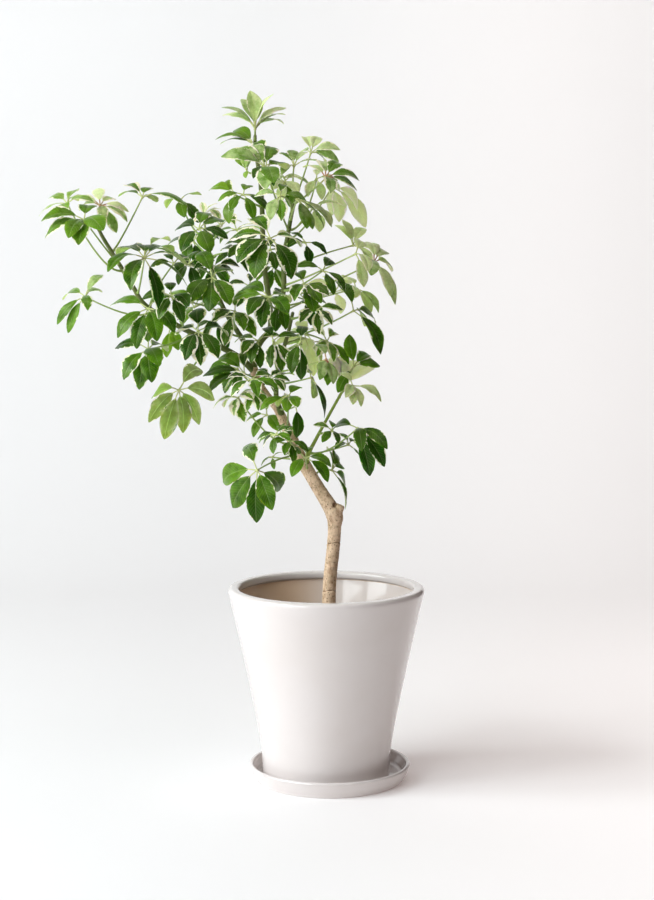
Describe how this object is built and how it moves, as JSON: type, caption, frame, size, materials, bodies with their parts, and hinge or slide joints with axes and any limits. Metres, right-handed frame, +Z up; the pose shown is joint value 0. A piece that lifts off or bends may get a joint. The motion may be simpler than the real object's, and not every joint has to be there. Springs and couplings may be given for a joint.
{
  "type": "potted umbrella plant",
  "caption": "Leaning variegated umbrella plant on one woody trunk, in a tall tapered white glazed pot that stands on a round saucer.",
  "frame": {"origin": "on the saucer's flat underside, straight below the pot's axis", "axes": "+Z up along the pot's axis, -Y the front, and the crown leans towards -X"},
  "size_m": [0.5441, 0.3411, 0.9978],
  "materials": {
    "glaze": "gloss",
    "soil": "matte",
    "bark": "matte",
    "leaf": "satin"
  },
  "bodies": {
    "root": {"saucer": "glaze", "pot": "glaze", "soil": "soil", "stem": "bark", "leaf_a01": "leaf", "leaf_a02": "leaf", "leaf_a03": "leaf", "leaf_a04": "leaf", "leaf_a05": "leaf", "leaf_a06": "leaf", "leaf_a07": "leaf", "leaf_a08": "leaf", "leaf_a10": "leaf", "leaf_a11": "leaf", "leaf_a12": "leaf", "leaf_a13": "leaf", "leaf_a15": "leaf", "leaf_a16": "leaf", "leaf_b01": "leaf", "leaf_b02": "leaf", "leaf_b03": "leaf", "leaf_b05": "leaf", "leaf_b06": "leaf", "leaf_b07": "leaf", "leaf_b09": "leaf", "leaf_b10": "leaf", "leaf_b11": "leaf", "leaf_c01": "leaf", "leaf_c02": "leaf", "leaf_c03": "leaf", "leaf_c04": "leaf", "leaf_c05": "leaf", "leaf_c06": "leaf", "leaf_c07": "leaf", "leaf_c09": "leaf", "leaf_c10": "leaf", "leaf_c11": "leaf", "leaf_c13": "leaf", "leaf_c14": "leaf", "leaf_c16": "leaf", "leaf_c17": "leaf", "leaf_c18": "leaf", "leaf_d01": "leaf", "leaf_d02": "leaf", "leaf_d03": "leaf", "leaf_d04": "leaf", "leaf_d05": "leaf", "leaf_d06": "leaf", "leaf_d07": "leaf", "leaf_d08": "leaf", "leaf_d09": "leaf", "leaf_d10": "leaf", "leaf_d11": "leaf", "leaf_d12": "leaf", "leaf_e01": "leaf", "leaf_e03": "leaf", "leaf_e04": "leaf", "leaf_e05": "leaf", "leaf_e06": "leaf", "leaf_e07": "leaf"}
  },
  "joints": []
}
